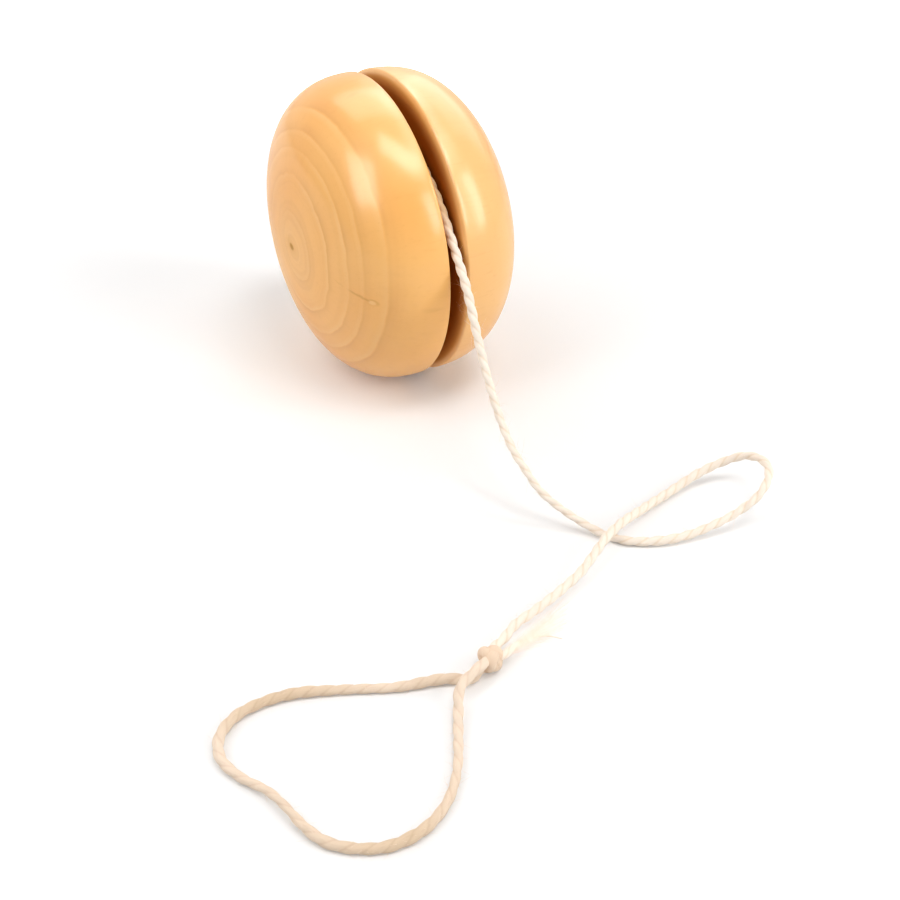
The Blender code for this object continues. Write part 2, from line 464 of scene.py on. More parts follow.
@dataclass(frozen=True)
class TurnedWood:
    """Pale close-grained wood, turned with its pith on the axle and lacquered.

    Rings are (radius, darkness), and their profile is (way out from the ring, change of level). The rings
    lean off the axle as they widen. The drift moves the pattern, so that no two pieces match.
    """

    axle_height: float
    rings: Stations
    lean: Span
    pith_spot: Span
    check: PinKnot | None = None
    drift: Spot = (0.0, 0.0, 0.0)
    pale: Colour = linear(249, 187, 105)
    warm: Colour = linear(246, 175, 87)
    light_band: Colour = linear(252, 204, 132)
    latewood: Colour = linear(216, 144, 66)
    pith: Colour = linear(182, 120, 6)
    stain: Colour = linear(184, 116, 30)
    # Colour inside the gap: partly burnish by the string, partly painted shade that deepens towards the
    # axle.
    burnish_and_gap_shade: Colour = linear(172, 96, 20)
    lean_reach: float = 0.012
    blank_radius: float = 0.030
    plain_level: float = 0.5
    ring_profile: Stations = ((-0.0011, 0.0), (-0.0003, -0.30), (0.0, 0.5), (0.0005, 0.26), (0.0017, 0.0))
    ring_least: float = 0.3
    ring_gain: float = 0.9
    ring_side: Span = (-0.008, 0.004)
    ring_side_least: float = 0.65
    dark_share: float = 0.42
    pale_share: float = 0.7
    solid_stretch: float = 0.3
    wander_cells: float = 95.0
    wander_shift: float = 0.0024
    ripple_cells: float = 420.0
    ripple_shift: float = 0.0008
    calm_reach: Span = (0.012, 0.023)
    calm_share: float = 0.65
    cloud: Layer = Layer(48.0, 1.0, (0.32, 0.68))
    fade: Layer = Layer(75.0, 2.0, (0.30, 0.68))
    year: Layer = Layer(560.0, 2.0, (0.45, 0.75), 0.18)
    year_stretch: float = 0.05
    rays: Layer = Layer(21.0, 2.0, (0.5, 0.85), 0.10)
    ray_spread: float = 0.002
    ray_stretch: float = 9.0
    ray_turn: float = 14.0
    grain: Layer = Layer(2600.0, 3.0, (0.55, 0.8), 0.14)
    grain_stretch: float = 0.035
    blot: Layer = Layer(210.0, 2.0, (0.70, 0.82), 0.18)
    pith_squash: float = 0.45
    pith_ripple: float = 0.0007
    pith_core: Span = (0.00020, 0.00075)
    pith_halo: Span = (0.0004, 0.0026)
    core_share: float = 0.9
    halo_share: float = 0.22
    check_share: float = 0.4
    eye_share: float = 0.5
    flaw_share: float = 0.5
    gap_reach: Span = (0.00143, 0.00195)
    mouth: Span = (0.0238, 0.0276)
    mouth_share: float = 0.52
    end_grain: Span = (0.0100, 0.0190)
    soak_share: float = 0.30
    coat: float = 0.58
    coat_roughness: float = 0.21
    coat_ior: float = 1.8
    coat_lost: float = 0.85
    specular: float = 0.08
    roughness: float = 0.38
    cloud_roughness: float = 0.10
    grain_roughness: float = 0.06
    gap_roughness: float = 0.4
    grain_relief: float = 0.25
    flaw_relief: float = 0.03
    ring_relief: float = 0.12
    relief_depth: float = 0.00012
    relief_strength: float = 0.35

    def ring_stations(self) -> Stations:
        """Return the rings, each a pale band, a thin dark line and a soft fade.

        Returns:
            Pairs of (share of the blank's radius, level).
        """
        plain = self.plain_level
        stations = [(0.0, plain)]
        for radius, dark in self.rings:
            stations += [(radius + out, plain + lift * dark) for out, lift in self.ring_profile]
        return tuple((radius / self.blank_radius, level) for radius, level in stations)

    def place(self, bench: Bench) -> WoodPlace:
        """Return the wires of a point of the wood.

        Args:
            bench: The tree in hand.

        Returns:
            Its place, its radius, where it is in the solid, and two sizes of noise about 0.
        """
        x, y, height = bench.place()
        z = height - self.axle_height
        radius = (x * x + z * z) ** 0.5
        solid = bench.vector(x + self.drift[0], y * self.solid_stretch + self.drift[1], z + self.drift[2])
        wander = bench.noise(solid, self.wander_cells) - 0.5
        ripple = bench.noise(solid, self.ripple_cells) - 0.5
        return WoodPlace(x, y, z, radius, solid, wander, ripple)

    def growth(self, at: WoodPlace) -> Wire:
        """Return the radius at which the wood grew.

        Args:
            at: The point of the wood.

        Returns:
            The radius, uneven and off the axle.
        """
        hold = (at.radius / self.lean_reach).at_most(1.0)
        ring_x = at.x - hold * self.lean[0]
        ring_z = at.z - hold * self.lean[1]
        calm = 1 - self.calm_share * at.radius.rise(*self.calm_reach)
        stray = (at.wander * self.wander_shift + at.ripple * self.ripple_shift) * calm
        return (ring_x * ring_x + ring_z * ring_z) ** 0.5 + stray

    def figure(
        self, bench: Bench, at: WoodPlace, growth: Wire, ring: Wire, cloud: Wire, grain: Wire
    ) -> Wire:
        """Return the colour of sound wood.

        Args:
            bench: The tree in hand.
            at: The point of the wood.
            growth: The radius at which the wood grew.
            ring: The level of its rings.
            cloud: The noise of its clouds.
            grain: The noise of its grain.

        Returns:
            The colour, with clouds, rings, years, rays, grain and blots.
        """
        spread = at.radius + self.ray_spread
        ray_run = at.y * self.ray_stretch + at.radius * self.ray_turn
        rays = self.rays.noise(bench, bench.vector(at.x / spread, ray_run, at.z / spread))
        year = self.year.noise(bench, bench.vector(growth, at.y * self.year_stretch, self.drift[0]))
        fade = self.fade.noise(bench, bench.vector(at.z, at.x + self.drift[1], at.y))
        blot = self.blot.noise(bench, at.solid)
        side = self.ring_side_least + (1 - self.ring_side_least) * at.x.rise(*self.ring_side)
        strength = (self.ring_least + self.ring_gain * self.fade.shown(fade)) * side
        dark_ring = (ring / self.plain_level - 1).at_least(0.0) * strength
        pale_ring = (1 - ring / self.plain_level).at_least(0.0) * strength
        colour = bench.mix(self.cloud.shown(cloud), self.warm, self.pale)
        colour = bench.mix(dark_ring * self.dark_share, colour, self.latewood)
        colour = bench.mix(pale_ring * self.pale_share, colour, self.light_band)
        for layer, level in ((self.year, year), (self.rays, rays), (self.grain, grain)):
            colour = bench.mix(layer.shown(level), colour, self.latewood)
        return bench.mix(self.blot.shown(blot), colour, self.stain)

    def mark_flaws(self, bench: Bench, at: WoodPlace, colour: Wire) -> tuple[Wire, Wire]:
        """Args:
            bench: The tree in hand.
            at: The point of the wood.
            colour: The colour of sound wood.

        Returns:
            The marked colour, and where the flaws are.
        """
        pith_x, pith_z = at.x - self.pith_spot[0], at.z - self.pith_spot[1]
        reach = (pith_x * pith_x * self.pith_squash + pith_z * pith_z) ** 0.5
        reach = reach + at.ripple * self.pith_ripple
        core = 1 - reach.rise(*self.pith_core)
        halo = 1 - reach.rise(*self.pith_halo)
        colour = bench.mix(halo * self.halo_share, colour, self.pith)
        colour = bench.mix(core * self.core_share, colour, self.pith)
        flaw = core.at_least(halo * self.flaw_share)
        if self.check is not None:
            line, eye = self.check.mask(at.x, at.z, at.ripple)
            colour = bench.mix(line * self.check_share, colour, self.stain)
            colour = bench.mix(eye * self.eye_share, colour, self.light_band)
            flaw = flaw.at_least(line * self.flaw_share)
        return colour, flaw

    def material(self, name: str) -> bpy.types.Material:
        """Build the finish.

        Args:
            name: The material's name.

        Returns:
            The material.
        """
        bench = Bench.for_material(name)
        at = self.place(bench)
        growth = self.growth(at)
        ring = bench.ramp(growth / self.blank_radius, self.ring_stations())
        cloud = self.cloud.noise(bench, at.solid)
        grain_y = at.y * self.grain_stretch + self.drift[0]
        grain = self.grain.noise(bench, bench.vector(at.x + self.drift[2], grain_y, at.z + self.drift[1]))
        colour = self.figure(bench, at, growth, ring, cloud, grain)
        colour, flaw = self.mark_flaws(bench, at, colour)
        in_gap = 1 - abs(at.y).rise(*self.gap_reach)
        # Inside the gap, darker towards the axle and lighter at the mouth: partly burnish, partly painted
        # shade of the gap.
        burnished_and_shaded = in_gap * (1 - self.mouth_share * at.radius.rise(*self.mouth))
        soaked = 1 - self.soak_share * (1 - at.radius.rise(*self.end_grain))
        rough = self.cloud_roughness * cloud + self.grain_roughness * grain + self.gap_roughness * in_gap
        relief = grain * self.grain_relief + (1 - flaw) * self.flaw_relief + (1 - ring) * self.ring_relief
        return bench.finish(
            {
                "Base Color": bench.mix(burnished_and_shaded, colour, self.burnish_and_gap_shade),
                "Roughness": self.roughness + rough,
                "Coat Weight": self.coat * (1 - self.coat_lost * flaw) * (1 - in_gap) * soaked,
                "Coat Roughness": self.coat_roughness,
                "Coat IOR": self.coat_ior,
                "Specular IOR Level": self.specular,
                "Normal": bench.bump(relief, self.relief_depth, self.relief_strength),
            }
        )


@dataclass(frozen=True)
class DowelWood:
    """Bare straight-grained dowel, with its grain along the axle."""

    body: Colour = linear(222, 172, 112)
    streak: Colour = linear(176, 122, 66)
    fibre: Layer = Layer(2400.0, 3.0, (0.5, 0.8), 0.4)
    fibre_stretch: float = 0.03
    band: Layer = Layer(700.0, 1.0, (0.35, 0.65), 0.6)
    band_stretch: float = 0.02
    band_width: float = 0.4
    roughness: float = 0.55
    fibre_roughness: float = 0.2
    relief_depth: float = 0.00008
    relief_strength: float = 0.5

    def material(self, name: str) -> bpy.types.Material:
        """Build the finish.

        Args:
            name: The material's name.

        Returns:
            The material.
        """
        bench = Bench.for_material(name)
        x, y, z = bench.place()
        fibre = self.fibre.noise(bench, bench.vector(x, y * self.fibre_stretch, z))
        band = self.band.noise(bench, bench.vector(x, y * self.band_stretch, z * self.band_width))
        colour = bench.mix(self.band.shown(band), self.body, self.streak)
        return bench.finish(
            {
                "Base Color": bench.mix(self.fibre.shown(fibre), colour, self.streak),
                "Roughness": self.roughness + self.fibre_roughness * fibre,
                "Normal": bench.bump(fibre, self.relief_depth, self.relief_strength),
            }
        )


@dataclass(frozen=True)
class TwistedCotton:
    """Undyed cotton, whose fibres follow the plies through the lay map.

    The stretch that runs in the gap is painted darker and yellower: partly soil from the wood, partly
    painted shade of the gap. Stations of (share of the length, darkness) paint a stretch darker: painted
    shade where it faces away from the light, with some finger grime.
    """

    lay_map: str
    # The stretch in the gap is painted darker and yellower: partly soil from the wood, partly painted
    # shade of the gap.
    soil_and_shade_end: float = 0.0
    soil_and_shade_fade: float = 0.007
    soil_and_shade_share: float = 0.7
    # Stations of darkness along the string: painted shade where it faces away from the light, with some
    # finger grime.
    shade_and_grime: Stations = ()
    shade_and_grime_length: float = 1.0
    light: Colour = linear(250, 236, 220)
    # Darker cotton: painted into the ply grooves as shade, and into random fibres as tone.
    shade: Colour = linear(234, 208, 176)
    fleck: Colour = linear(221, 184, 142)
    soil_and_gap_shade: Colour = linear(239, 199, 128)
    # The darker colours of those stations, for painted shade with some grime.
    grime_and_shade: Colour = linear(221, 195, 165)
    grime_and_shade_dark: Colour = linear(199, 168, 135)
    # Where the ply grooves are painted darker, as painted shade.
    groove_shade: Span = (0.19, 0.32)
    groove_shade_share: float = 0.6
    fibre: Layer = Layer(1.6, 3.0, (0.52, 0.78), 0.38)
    fibre_slant: float = 190.0
    fibres_round: float = 9.0
    fibres_along: float = 420.0
    slub: Layer = Layer(1.0, 2.0, (0.62, 0.82), 0.22)
    slubs_round: float = 0.6
    slubs_along: float = 160.0
    roughness: float = 0.86
    fibre_roughness: float = 0.1
    specular: float = 0.2
    sheen: float = 0.2
    sheen_roughness: float = 0.5
    fibre_relief: float = 0.8
    slub_relief: float = 0.4
    relief_depth: float = 0.00009
    relief_strength: float = 0.8

    def material(self, name: str) -> bpy.types.Material:
        """Build the finish.

        Args:
            name: The material's name.

        Returns:
            The material.
        """
        bench = Bench.for_material(name)
        round_ply, along, _ = bench.split(bench.add("ShaderNodeUVMap", {"uv_map": self.lay_map}))
        thread = round_ply - along * self.fibre_slant
        fibre_spot = bench.vector(thread * self.fibres_round, along * self.fibres_along, 0.0)
        fibre = self.fibre.noise(bench, fibre_spot)
        slub_spot = bench.vector(along * self.slubs_along, round_ply * self.slubs_round, 0.0)
        slub = self.slub.noise(bench, slub_spot)
        # Painted shade in the grooves between the plies.
        groove_shade = abs(round_ply.fraction() - 0.5).rise(*self.groove_shade)
        light, shade = self.light, self.shade
        # Painted shade along the finger loop, with some grime, from its stations of darkness.
        if self.shade_and_grime:
            shaded_and_grimy = bench.ramp(along / self.shade_and_grime_length, self.shade_and_grime)
            light = bench.mix(shaded_and_grimy, light, self.grime_and_shade)
            shade = bench.mix(shaded_and_grimy, shade, self.grime_and_shade_dark)
        colour = bench.mix(groove_shade * self.groove_shade_share, light, shade)
        colour = bench.mix(self.fibre.shown(fibre), colour, shade)
        colour = bench.mix(self.slub.shown(slub), colour, self.fleck)
        # Painted shade of the gap, with soil from the wood, on the stretch of string inside the gap.
        if self.soil_and_shade_end > 0:
            soiled_and_shaded = 1 - along.rise(self.soil_and_shade_end - self.soil_and_shade_fade, self.soil_and_shade_end)
            colour = bench.mix(soiled_and_shaded * self.soil_and_shade_share, colour, self.soil_and_gap_shade)
        relief = fibre * self.fibre_relief + slub * self.slub_relief
        return bench.finish(
            {
                "Base Color": colour,
                "Roughness": self.roughness + self.fibre_roughness * fibre,
                "Specular IOR Level": self.specular,
                "Sheen Weight": self.sheen,
                "Sheen Roughness": self.sheen_roughness,
                "Normal": bench.bump(relief, self.relief_depth, self.relief_strength),
            }
        )


@dataclass(frozen=True)
class LooseCotton:
    """Single cotton fibres, fluffed out of the twist."""

    light: Colour = linear(251, 235, 222)
    shade: Colour = linear(241, 216, 197)
    tone: Layer = Layer(900.0, 2.0, (0.35, 0.7))
    roughness: float = 0.85
    tone_roughness: float = 0.1
    specular: float = 0.2

    def material(self, name: str) -> bpy.types.Material:
        """Build the finish.

        Args:
            name: The material's name.

        Returns:
            The material.
        """
        bench = Bench.for_material(name)
        tone = self.tone.noise(bench, bench.vector(*bench.place()))
        return bench.finish(
            {
                "Base Color": bench.mix(self.tone.shown(tone), self.light, self.shade),
                "Roughness": self.roughness + self.tone_roughness * tone,
                "Specular IOR Level": self.specular,
            }
        )


def add_piece(name: str, mesh: bpy.types.Mesh, finish: bpy.types.Material) -> bpy.types.Object:
    """Put a mesh in the scene as a smooth piece with one finish.

    Args:
        name: The piece's name.
        mesh: Its mesh, in place.
        finish: Its material.

    Returns:
        The piece.
    """
    mesh.name = name
    mesh.materials.append(finish)
    mesh.shade_smooth()
    piece = bpy.data.objects.new(name, mesh)
    bpy.context.scene.collection.objects.link(piece)
    return piece


def report(piece: bpy.types.Object) -> None:
    """Log the faces of a finished piece."""
    LOG.info("%s: %d faces", piece.name, len(piece.data.polygons))


@dataclass
class TurnedHalf:
    """One domed half of the yo-yo, turned on the axle line."""

    side: Side
    wood: TurnedWood
    axle_height: float
    radius: float = 0.0275
    thickness: float = 0.0171
    half_gap: float = 0.0014
    land_radius: float = 0.003
    lip_axial: float = 0.0006
    lip_radial: float = 0.0020
    axial_power: float = 2.34
    radial_power: float = 2.84
    bore_radius: float = 0.0043
    bore_depth: float = 0.0103
    dome_stations: int = 72
    lip_stations: int = 12
    turn_steps: int = 160
    hand_wave: float = 0.00003
    wave_cells: float = 150.0
    wave_apart: float = 7.0
    wave_ease: float = 4.0
    weld: float = 1e-6
    sharp_edge: float = math.radians(40.0)

    @property
    def name(self) -> str:
        """The CAD node that this half stands for."""
        return f"{self.side.name.lower()}_half"

    def profile(self) -> list[Span]:
        """Draw the half's outline, from the middle of its cheek round to the end of its bore.

        Returns:
            Pairs of (radius, distance from the gap's middle).
        """
        start = self.half_gap
        points = [(0.0, start + self.thickness)]
        land = math.acos((self.land_radius / self.radius) ** (self.radial_power / 2))
        for station in range(self.dome_stations + 1):
            angle = land * (1 - station / self.dome_stations)
            out = self.radius * math.cos(angle) ** (2 / self.radial_power)
            rise = (math.sin(angle) / math.sin(land)) ** (2 / self.axial_power)
            points.append((out, start + self.lip_axial + (self.thickness - self.lip_axial) * rise))
        for station in range(1, self.lip_stations + 1):
            angle = math.pi / 2 * station / self.lip_stations
            out = self.radius - self.lip_radial * (1 - math.cos(angle))
            points.append((out, start + self.lip_axial * (1 - math.sin(angle))))
        bore_end = start + self.bore_depth
        return points + [(self.bore_radius, start), (self.bore_radius, bore_end), (0.0, bore_end)]

    def build(self) -> bpy.types.Mesh:
        """Turn the outline round the axle, with the slight unevenness of hand finishing.

        Returns:
            The mesh, in place.
        """
        shape = bmesh.new()
        centre = Vector((0.0, 0.0, self.axle_height))
        facing = self.side.value
        apart = Vector((0.0, 0.0, self.wave_apart * facing))
        corners = [shape.verts.new((out, facing * far, centre.z)) for out, far in self.profile()]
        edges = [shape.edges.new(pair) for pair in zip(corners, corners[1:])]
        bmesh.ops.spin(
            shape,
            geom=corners + edges,
            cent=centre,
            axis=(0.0, 1.0, 0.0),
            angle=math.tau,
            steps=self.turn_steps,
            use_merge=True,
        )
        bmesh.ops.remove_doubles(shape, verts=shape.verts, dist=self.weld)
        for vertex in shape.verts:
            out = vertex.co - centre
            ease = min(1.0, max(0.0, abs(out.y) - self.half_gap) / self.thickness * self.wave_ease)
            wave = noise.noise(vertex.co * self.wave_cells + apart)
            vertex.co += out.normalized() * wave * self.hand_wave * ease
        bmesh.ops.recalc_face_normals(shape, faces=shape.faces)
        mesh = bpy.data.meshes.new(self.name)
        shape.to_mesh(mesh)
        shape.free()
        return mesh

    def dress(self) -> bpy.types.Object:
        """Build and finish the half, riding on the spool in place of its CAD node.

        Returns:
            The piece.
        """
        name = f"{self.name}_turned"
        piece = add_piece(name, self.build(), self.wood.material(self.name))
        piece.data.set_sharp_from_angle(angle=self.sharp_edge)
        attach(piece, Body.SPOOL.value)
        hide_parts(self.name)
        self.name
        report(piece)
        return piece


@dataclass
class Spool:
    """The two halves on their axle."""

    axle_height: float
    left_rings: Stations = (
        (0.0033, 0.20), (0.0062, 0.55), (0.0120, 0.85), (0.0166, 0.95), (0.0194, 0.85), (0.0227, 0.85),
    )
    right_rings: Stations = (
        (0.0041, 0.45), (0.0079, 0.65), (0.0118, 0.40), (0.0149, 0.75), (0.0189, 0.70), (0.0222, 0.45),
    )

    def dress(self) -> None:
        """Build both halves and give the CAD axle its finish."""
        left = TurnedWood(
            axle_height=self.axle_height,
            rings=self.left_rings,
            lean=(0.0018, 0.0015),
            pith_spot=(-0.0006, 0.0001),
            check=PinKnot(),
        )
        right = TurnedWood(
            axle_height=self.axle_height,
            rings=self.right_rings,
            lean=(-0.0011, 0.0009),
            pith_spot=(0.0005, -0.0003),
            drift=(0.31, 0.17, 0.53),
            gap_reach=(0.00142, 0.00162),
            pale=linear(250, 194, 122),
            warm=linear(247, 182, 105),
        )
        TurnedHalf(Side.LEFT, left, self.axle_height).dress()
        TurnedHalf(Side.RIGHT, right, self.axle_height).dress()
        axle = frame["nodes"]["axle"]
        axle.material_slots[0].material = DowelWood().material("axle_dowel")
        report(axle)


@dataclass
class Twist:
    """How the string is laid: two plies twisted together, left-handed."""

    diameter: float = 0.0017
    lay: float = 0.0050
    ply_share: float = 0.77
    sides: int = 20
    steep: float = 0.9
    lay_map: str = "lay"

    def section(self) -> tuple[np.ndarray, np.ndarray]:
        """Draw a two-ply section of diameter one.

        Returns:
            The angle and the radius of each point round it.
        """
        angle = np.arange(self.sides) * math.tau / self.sides
        ply = self.ply_share / 2
        offset = (1 - self.ply_share) / 2
        radius = offset * np.abs(np.cos(angle)) + np.sqrt(ply**2 - (offset * np.sin(angle)) ** 2)
        return angle, radius

    def round_ply(self) -> tuple[np.ndarray, np.ndarray]:
        """Find the turn about its own ply of each face round the section.

        Returns:
            The turns at the first and the second edge of each face, ply by ply.
        """
        angle, radius = self.section()
        offset = (1 - self.ply_share) / 2
        middle = angle + math.pi / self.sides
        lobe = np.where(np.cos(middle) > 0, 1.0, -1.0)
        number = np.where(lobe > 0, 0.0, 1.0)

        def turned(index: np.ndarray) -> np.ndarray:
            """Measure the turn about each face's own ply.

            Args:
                index: The section point of each face.

            Returns:
                The turns, with one whole turn to a ply.
            """
            across = radius[index] * np.cos(angle[index]) * lobe - offset
            up = radius[index] * np.sin(angle[index]) * lobe
            return number + 0.5 + np.arctan2(up, across) / math.tau

        first = np.arange(self.sides)
        return turned(first), turned((first + 1) % self.sides)

    def frames(self, route: np.ndarray) -> tuple[np.ndarray, np.ndarray]:
        """Return two directions square to a route, carried along it without a turn.

        Args:
            route: Points down the middle of the string.

        Returns:
            The directions across the route and over it, at each point.
        """
        heading = unit(np.gradient(route, axis=0))
        across = np.zeros_like(route)
        steep = abs(heading[0] @ UP) > self.steep
        across[0] = unit(np.cross(heading[0], AHEAD if steep else UP))
        for index in range(1, len(route)):
            carried = across[index - 1]
            across[index] = unit(carried - heading[index] * (heading[index] @ carried))
        return across, np.cross(heading, across)

    def lay_rows(self, along: np.ndarray) -> np.ndarray:
        """Return the lay map, corner by corner.

        Args:
            along: The length of the string up to each point of its route.

        Returns:
            Rows of (turn about the ply, length along the string), with the two ends last.
        """
        near, far = self.round_ply()
        rows = np.zeros((len(along) - 1, self.sides, 4, 2))
        rows[..., 0] = np.stack([near, far, far, near], axis=1)
        rows[..., 0:2, 1] = along[:-1, None, None]
        rows[..., 2:4, 1] = along[1:, None, None]
        ends = np.zeros((2 * self.sides, 2))
        ends[:, 0] = 0.5
        return np.concatenate([rows.reshape(-1, 2), ends])

    def sweep(self, name: str, route: np.ndarray, thickness: np.ndarray | float) -> bpy.types.Mesh:
        """Sweep the twisted section along a route and close both ends.

        Args:
            name: The mesh's name.
            route: Points down the middle of the string.
            thickness: The share of the full diameter, for the whole route or for each point.

        Returns:
            The mesh, with a map of (turn about the ply, length along the string).
        """
        count, sides = len(route), self.sides
        along = lengths_along(route)
        across, over = self.frames(route)
        angle, radius = self.section()
        turn = angle - math.tau * along[:, None] / self.lay
        reach = radius * self.diameter * np.broadcast_to(thickness, count)[:, None]
        ring = np.cos(turn)[..., None] * across[:, None] + np.sin(turn)[..., None] * over[:, None]
        points = (route[:, None] + reach[..., None] * ring).reshape(-1, 3)
        side = np.arange(sides)
        start = np.arange(count - 1)[:, None] * sides
        first, second = (start + side).ravel(), (start + (side + 1) % sides).ravel()
        faces = np.stack([first, second, second + sides, first + sides], axis=1)
        ends = [side[::-1].tolist(), (side + (count - 1) * sides).tolist()]
        mesh = bpy.data.meshes.new(name)
        mesh.from_pydata(points, [], faces.tolist() + ends)
        layer = mesh.uv_layers.new(name=self.lay_map)
        layer.data.foreach_set("uv", self.lay_rows(along).ravel())
        mesh.validate()
        return mesh


class FibreTuft:
    """Loose fibres, gathered as the splines of one curve."""

    def __init__(self, name: str, fibre_radius: float) -> None:
        """Start an empty tuft.

        Args:
            name: The piece's name.
            fibre_radius: Half the thickness of a fibre at its root.
        """
        self.name = name
        self.curve = bpy.data.curves.new(name, "CURVE")
        self.curve.dimensions = "3D"
        self.curve.bevel_depth = fibre_radius
        self.curve.bevel_resolution = 0
        self.curve.use_fill_caps = True

    def lay(self, points: np.ndarray, tip: float = 0.4) -> None:
        """Add one fibre.

        Args:
            points: The fibre's line, root first.
            tip: The share of its thickness that is left at its tip.
        """
        spline = self.curve.splines.new("POLY")
        spline.points.add(len(points) - 1)
        for index, (corner, spot) in enumerate(zip(spline.points, points)):
            corner.co = (*spot, 1.0)
            corner.radius = 1.0 - (1.0 - tip) * index / (len(points) - 1)

    def gather(self, finish: bpy.types.Material) -> bpy.types.Object:
        """Turn the tuft into a mesh piece.

        Args:
            finish: The fibres' material.

        Returns:
            The piece.
        """
        holder = bpy.data.objects.new(self.name, self.curve)
        mesh = bpy.data.meshes.new_from_object(holder)
        bpy.data.objects.remove(holder)
        bpy.data.curves.remove(self.curve)
        return add_piece(self.name, mesh, finish)


@dataclass
class LooseFibres:
    """The fuzz along the string, the fluff in the mouth of the gap and the frayed end of the tail."""

    string_diameter: float
    fibre_radius: float = 0.000016
    floor_clearance: float = 0.00004
    seed: int = 11
    fuzz_count: int = 1000
    fuzz_points: int = 5
    fuzz_root: float = 0.33
    fuzz_least: float = 0.0004
    fuzz_more: float = 0.00042
    fuzz_most: float = 0.0019
    fuzz_lean: Span = (0.25, 1.1)
    fuzz_forward: float = 0.7
    fuzz_bend: Spot = (0.35, 0.35, 0.35)
    fluff_count: int = 26
    fluff_points: int = 7
    fluff_root: float = 0.4
    fluff_heights: Span = (0.0215, 0.0300)
    fluff_reach: float = 0.0380
    fluff_width: float = 0.0012
    fluff_length: Span = (0.0008, 0.0042)
    fluff_sway: float = 0.15
    fluff_fall: Span = (-0.5, 0.45)
    fluff_bend: Spot = (0.4, 0.10, 0.5)
    fray_count: int = 420
    fray_points: int = 7
    fray_radius: float = 0.000011
    fray_span: int = 70
    fray_start: Span = (0.05, 0.35)
    fray_scatter: Spot = (0.00022, 0.00022, 0.00022)
    fray_crowd: float = 0.55
    fray_length: Span = (0.0045, 0.0085)
    fray_gain: float = 0.0070
    fray_height: Span = (0.0002, 0.0014)
    fray_bend: Spot = (0.10, 0.10, 0.04)
    fray_sag: float = 1.5

    def above_floor(self, points: np.ndarray) -> np.ndarray:
        """Return fibre points held just above the floor."""
        points[:, 2] = np.maximum(points[:, 2], self.floor_clearance)
        return points

    @staticmethod
    def scatter(draw: random.Random, spread: Spot) -> np.ndarray:
        """Return a random step, with its own spread along each axis."""
        return np.array([draw.gauss(0.0, each) for each in spread])

    def fuzz(self, lines: list[np.ndarray], finish: bpy.types.Material) -> bpy.types.Object:
        """Return the short fibres that stand out of the twist.

        Args:
            lines: The stretches of string that show.
            finish: The fibres' material.

        Returns:
            The piece.
        """
        draw = random.Random(self.seed)
        tuft = FibreTuft("string_fuzz", self.fibre_radius)
        track = np.concatenate(lines)
        heading = np.concatenate([unit(np.gradient(line, axis=0)) for line in lines])
        share = np.linspace(0.0, 1.0, self.fuzz_points)[:, None]
        for _ in range(self.fuzz_count):
            index = draw.randrange(len(track))
            forward = heading[index] * draw.choice((-1.0, 1.0))
            spin = self.scatter(draw, (1.0, 1.0, 1.0))
            outward = unit(spin - heading[index] * (heading[index] @ spin))
            length = min(self.fuzz_most, self.fuzz_least + draw.expovariate(1 / self.fuzz_more))
            run = outward * draw.uniform(*self.fuzz_lean) + forward * self.fuzz_forward
            bend = self.scatter(draw, self.fuzz_bend)
            root = track[index] + outward * self.string_diameter * self.fuzz_root
            tuft.lay(self.above_floor(root + length * (share * run + share**2 * bend)))
        return tuft.gather(finish)

    def gap_fluff(self, lead: np.ndarray, finish: bpy.types.Material) -> bpy.types.Object:
        """Return the fluff that the string leaves behind it in the mouth of the gap.

        Args:
            lead: The free string's line.
            finish: The fibres' material.

        Returns:
            The piece.
        """
        draw = random.Random(self.seed + 1)
        tuft = FibreTuft("gap_fluff", self.fibre_radius)
        low, high = self.fluff_heights
        mouth = lead[(lead[:, 2] > low) & (lead[:, 2] < high) & (lead[:, 0] < self.fluff_reach)]
        share = np.linspace(0.0, 1.0, self.fluff_points)[:, None]
        for _ in range(self.fluff_count):
            root = mouth[draw.randrange(len(mouth))] - AHEAD * self.string_diameter * self.fluff_root
            sway, fall = draw.gauss(0.0, self.fluff_sway), draw.gauss(*self.fluff_fall)
            run = unit(np.array([-1.0, sway, fall]))
            bend = self.scatter(draw, self.fluff_bend)
            line = root + draw.uniform(*self.fluff_length) * (share * run + share**2 * bend)
            line[:, 1] = np.clip(line[:, 1], -self.fluff_width, self.fluff_width)
            tuft.lay(line)
        return tuft.gather(finish)

    def fray(self, tail: np.ndarray, lead: np.ndarray, finish: bpy.types.Material) -> bpy.types.Object:
        """Return the untwisted fibres that fan out between the tail and the lead.

        Args:
            tail: The tail's line.
            lead: The free string's line, which ends in the knot.
            finish: The fibres' material.

        Returns:
            The piece.
        """
        draw = random.Random(self.seed + 2)
        tuft = FibreTuft("tail_fray", self.fray_radius)
        away = unit(tail[-1] - tail[0])
        beside = unit(lead[-self.fray_span] - lead[-1])
        share = np.linspace(0.0, 1.0, self.fray_points)[:, None]
        for _ in range(self.fray_count):
            start = tail[round((len(tail) - 1) * draw.uniform(*self.fray_start))]
            root = start + self.scatter(draw, self.fray_scatter)
            turn = draw.random() ** self.fray_crowd
            run = unit(away * (1 - turn) + beside * turn)
            length = draw.uniform(*self.fray_length) + self.fray_gain * turn
            sink = UP * (root[2] - draw.uniform(*self.fray_height))
            bend = self.scatter(draw, self.fray_bend)
            line = root + length * (share * run + share**2 * bend) - share**self.fray_sag * sink
            tuft.lay(self.above_floor(line))
        return tuft.gather(finish)


